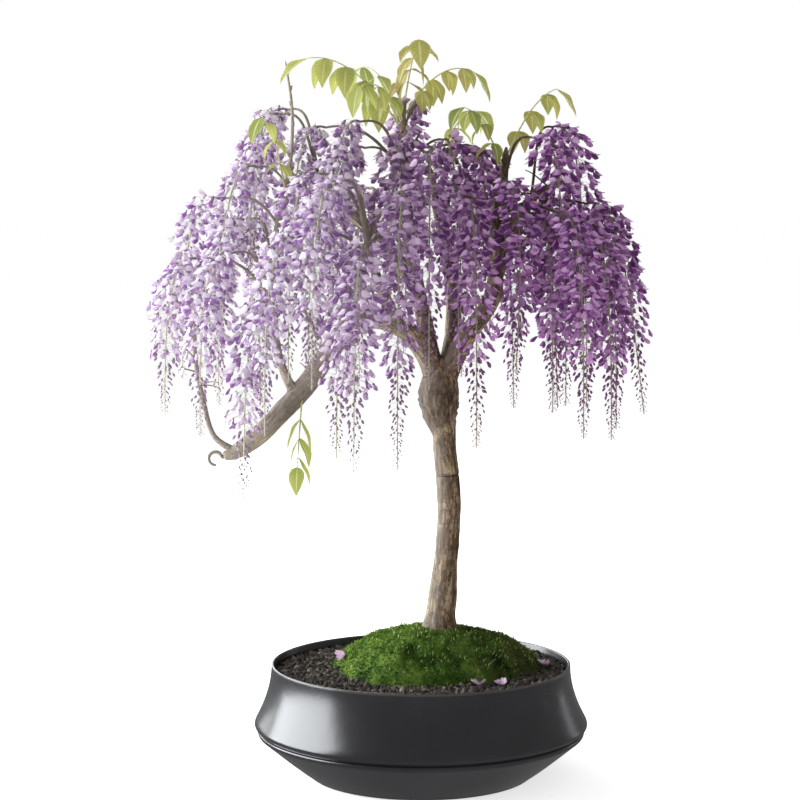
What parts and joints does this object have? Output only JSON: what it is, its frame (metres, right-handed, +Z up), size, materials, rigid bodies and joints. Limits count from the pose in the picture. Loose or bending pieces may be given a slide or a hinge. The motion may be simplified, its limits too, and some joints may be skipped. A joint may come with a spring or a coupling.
{
  "type": "wisteria bonsai in a pot",
  "caption": "Flowering wisteria bonsai with a bare upright trunk and long hanging violet racemes, in a wide dark flared pot with soil and a moss mound.",
  "frame": {"origin": "centre of the pot's foot, on the surface it stands on", "axes": "+Z up along the trunk, -Y towards the front, +X to the right as seen from the front"},
  "size_m": [0.6589, 0.5015, 0.9664],
  "materials": {
    "pot_charcoal": "satin charcoal",
    "soil": "damp dark granules",
    "moss": "short green moss",
    "bark": "grey-brown bark",
    "flower_violet": "soft violet petals",
    "flower_lilac": "soft pale lilac petals",
    "leaf_green": "fresh green leaves",
    "leaf_bronze": "young bronze-green leaves",
    "petal": "pale fallen petals"
  },
  "bodies": {
    "root": {"fallen_petal_1": "petal", "fallen_petal_2": "petal", "fallen_petal_3": "petal", "fallen_petal_4": "petal", "leaf_01": "leaf_green", "leaf_02": "leaf_bronze", "leaf_03": "leaf_bronze", "leaf_04": "leaf_green", "leaf_05": "leaf_green", "leaf_06": "leaf_green", "leaf_07": "leaf_bronze", "leaf_08": "leaf_green", "leaf_09": "leaf_green", "leaf_10": "leaf_green", "moss": "moss", "pot": "pot_charcoal", "raceme_01": "flower_violet", "raceme_02": "flower_violet", "raceme_03": "flower_violet", "raceme_04": "flower_violet", "raceme_05": "flower_violet", "raceme_06": "flower_violet", "raceme_07": "flower_violet", "raceme_08": "flower_violet", "raceme_09": "flower_violet", "raceme_10": "flower_violet", "raceme_11": "flower_violet", "raceme_12": "flower_violet", "raceme_13": "flower_violet", "raceme_14": "flower_violet", "raceme_15": "flower_violet", "raceme_16": "flower_lilac", "raceme_17": "flower_lilac", "raceme_18": "flower_lilac", "raceme_19": "flower_lilac", "raceme_20": "flower_lilac", "raceme_21": "flower_lilac", "raceme_22": "flower_lilac", "raceme_23": "flower_lilac", "raceme_24": "flower_lilac", "raceme_25": "flower_lilac", "raceme_26": "flower_lilac", "raceme_27": "flower_lilac", "raceme_28": "flower_lilac", "raceme_29": "flower_lilac", "raceme_30": "flower_violet", "raceme_31": "flower_violet", "raceme_32": "flower_violet", "raceme_33": "flower_violet", "raceme_34": "flower_violet", "raceme_35": "flower_lilac", "raceme_36": "flower_lilac", "raceme_37": "flower_lilac", "raceme_38": "flower_lilac", "raceme_39": "flower_violet", "raceme_40": "flower_violet", "raceme_41": "flower_lilac", "soil": "soil", "tree": "bark"}
  },
  "joints": []
}
